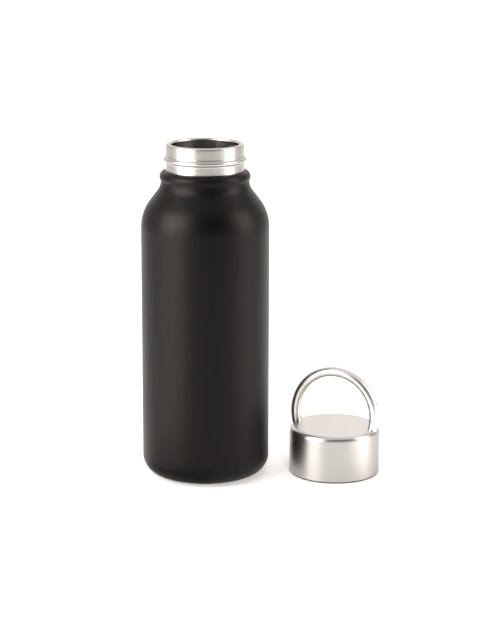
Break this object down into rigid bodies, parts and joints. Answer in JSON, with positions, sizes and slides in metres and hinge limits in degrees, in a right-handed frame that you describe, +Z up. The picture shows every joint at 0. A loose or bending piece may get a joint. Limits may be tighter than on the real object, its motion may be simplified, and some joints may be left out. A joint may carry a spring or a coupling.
{
  "type": "insulated water bottle",
  "caption": "Cylindrical vacuum insulated bottle with a narrow bare steel neck, and its steel screw lid with a ring handle standing beside it.",
  "frame": {"origin": "centre of the bottle's foot, on the floor", "axes": "+Z up the bottle's axis to the mouth, +X towards the lid standing beside the bottle, -Y towards the viewer"},
  "size_m": [0.1392, 0.074, 0.1948],
  "materials": {
    "black_coat": "matte powder coat",
    "bare_steel": "satin, turned grain",
    "flask_steel": "electropolished inside",
    "radiation_foil": "bright foil",
    "getter_alloy": "pressed powder",
    "clip_steel": "plain strip",
    "braze": "cast pellet",
    "lid_steel": "satin",
    "handle_steel": "polished",
    "black_plastic": "moulded",
    "foam": "fine cell foam",
    "silicone": "translucent grey silicone"
  },
  "bodies": {
    "bottle": {"outer_wall": "black_coat", "outer_base": "black_coat", "neck_sleeve": "bare_steel", "inner_flask": "flask_steel", "inner_base": "flask_steel", "radiation_foil": "radiation_foil", "getter": "getter_alloy", "getter_clip": "clip_steel", "vacuum_plug": "braze", "base_cover": "black_coat"},
    "gasket": {"lid_seal": "silicone"},
    "lid": {"lid_shell": "lid_steel", "lid_core": "black_plastic", "stopper_cap": "black_plastic", "lid_insulation": "foam", "handle_ring": "handle_steel"}
  },
  "joints": [
    {"name": "lid_lift", "type": "slide", "parent": "bottle", "child": "gasket", "axis": [0, 0, 1], "range_m": [0, 0.205]},
    {"name": "lid_turn", "type": "hinge", "parent": "gasket", "child": "lid", "pos_m": [0.0758, -0.0011, 0.016], "axis": [0, 0, 1], "continuous": true}
  ]
}
